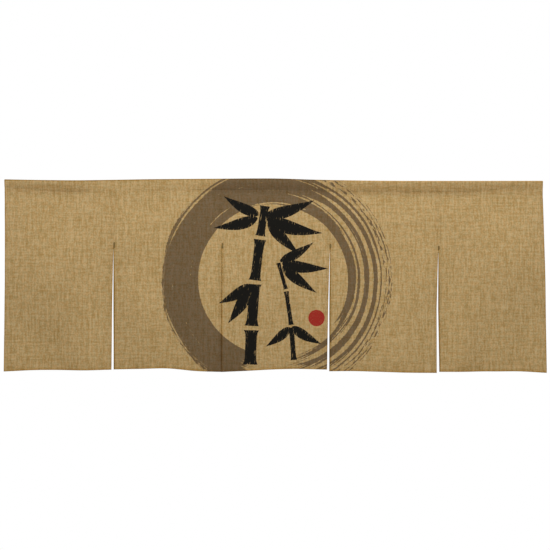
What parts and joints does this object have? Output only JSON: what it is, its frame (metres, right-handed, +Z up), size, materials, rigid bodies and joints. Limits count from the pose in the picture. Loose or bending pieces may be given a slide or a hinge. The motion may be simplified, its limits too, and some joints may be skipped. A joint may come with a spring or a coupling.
{
  "type": "noren curtain",
  "caption": "Split shop curtain: hanging hemp-look panels sewn side by side over the top third, open slits below, a rod pocket along the top and bar tacks at the slits.",
  "frame": {"origin": "top fold of the rod pocket at the curtain's mid-width, where a rod carries it", "axes": "+X to the right across the curtain, +Y to its back, +Z up; the front of the cloth faces -Y"},
  "size_m": [1.7145, 0.026, 0.6142],
  "materials": {
    "hemp_cloth": "slubby plain weave",
    "tack_thread": "dark sewing thread"
  },
  "bodies": {
    "root": {"rod_pocket": "hemp_cloth", "panel_1": "hemp_cloth", "panel_2": "hemp_cloth", "panel_3": "hemp_cloth", "panel_4": "hemp_cloth", "panel_5": "hemp_cloth", "slit_tack_1": "tack_thread", "slit_tack_2": "tack_thread", "slit_tack_3": "tack_thread", "slit_tack_4": "tack_thread"}
  },
  "joints": []
}
